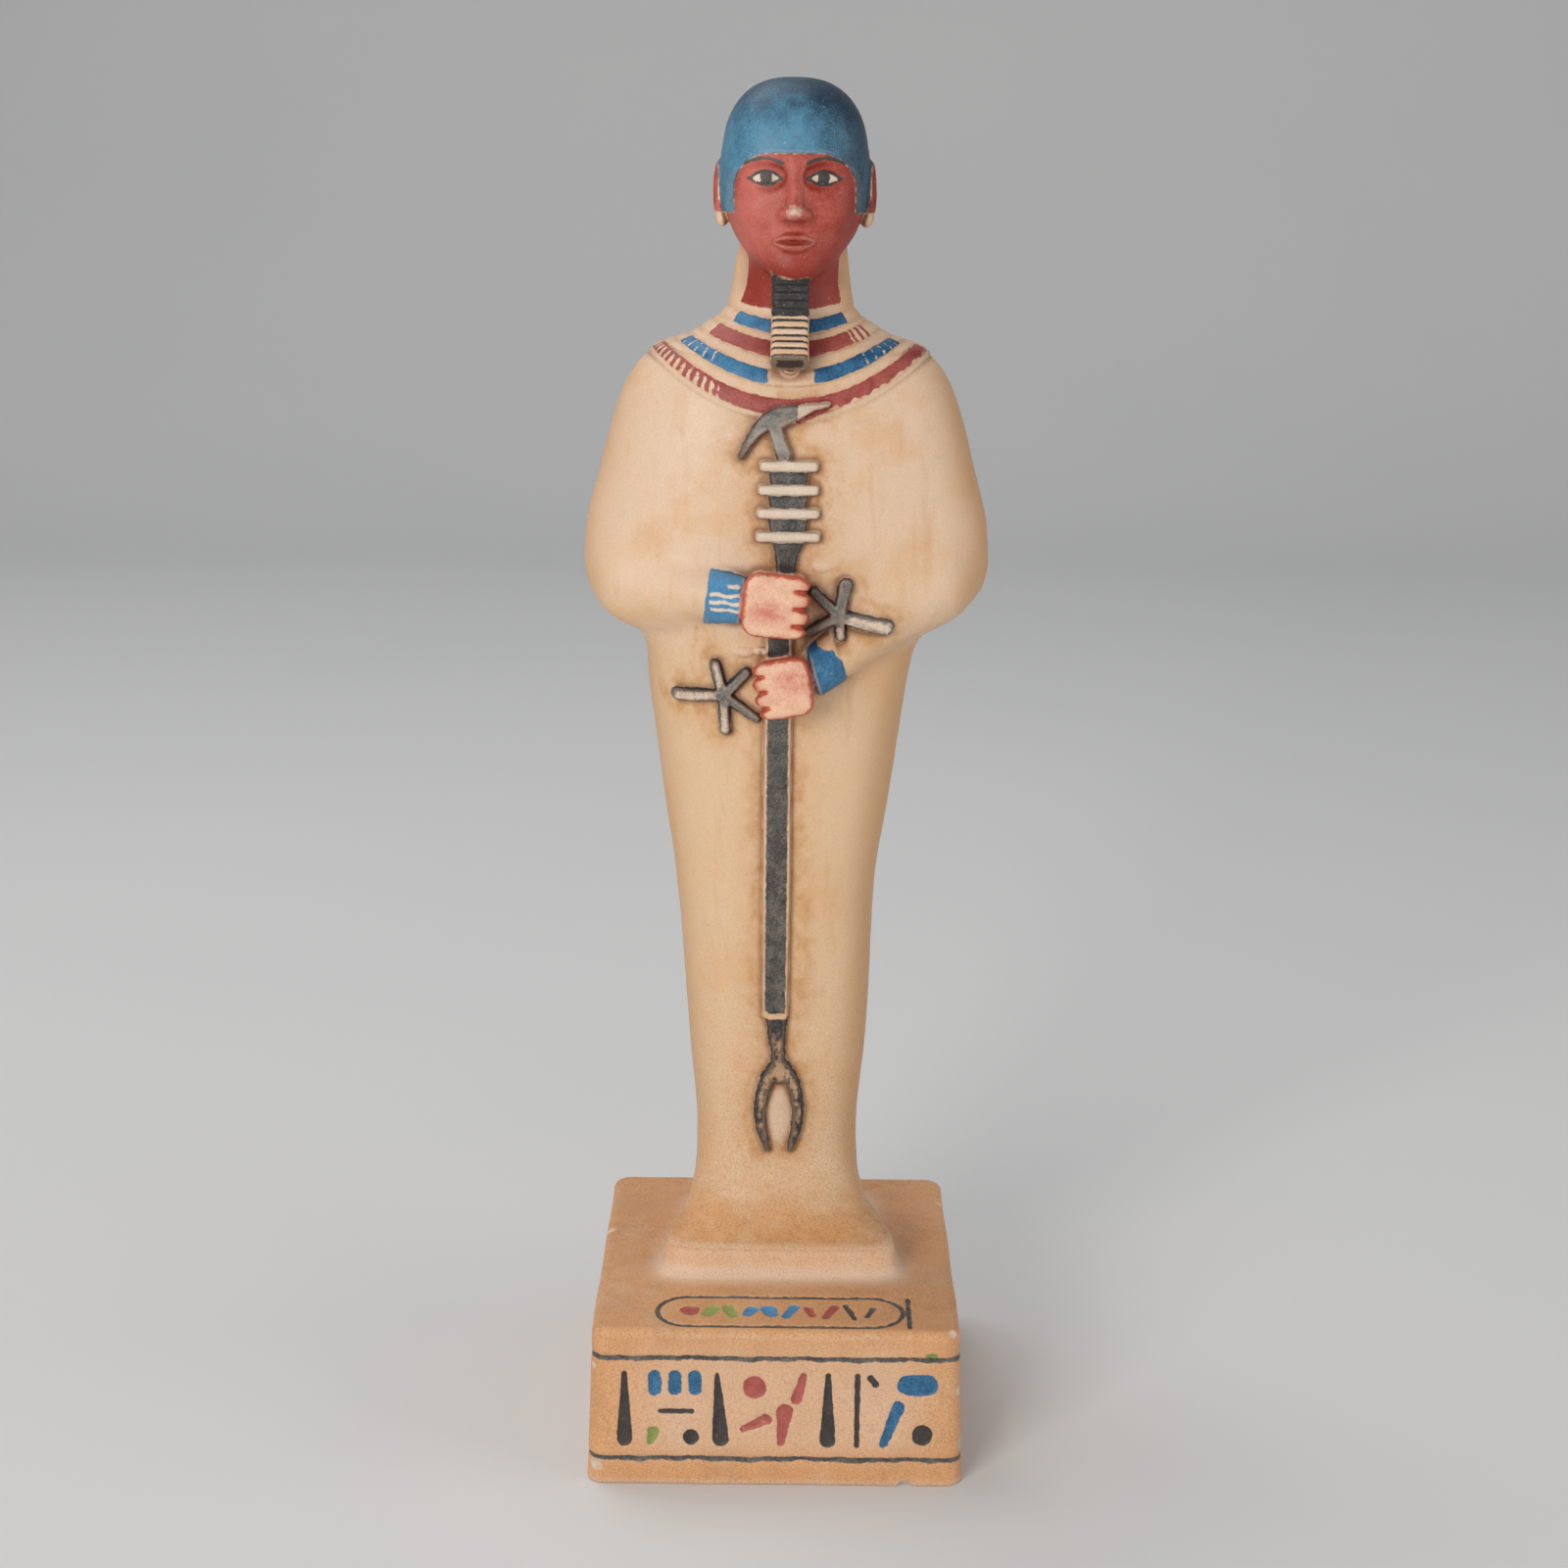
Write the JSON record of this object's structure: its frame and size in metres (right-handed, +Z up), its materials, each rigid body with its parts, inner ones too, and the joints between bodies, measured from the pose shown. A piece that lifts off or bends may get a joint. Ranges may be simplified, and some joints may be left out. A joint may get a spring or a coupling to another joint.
{
  "type": "ptah statue",
  "caption": "Painted cast-stone souvenir statuette of a shrouded standing god holding a sceptre, on a low plinth with cut marks.",
  "frame": {"origin": "middle of the underside of the plinth's box, on the surface it stands on", "axes": "+Z up, the figure faces -Y, +X is to the right of someone facing it"},
  "size_m": [0.09, 0.088, 0.3],
  "materials": {
    "painted_stone": "matte hand-painted"
  },
  "bodies": {
    "root": {"statue": "painted_stone"}
  },
  "joints": []
}
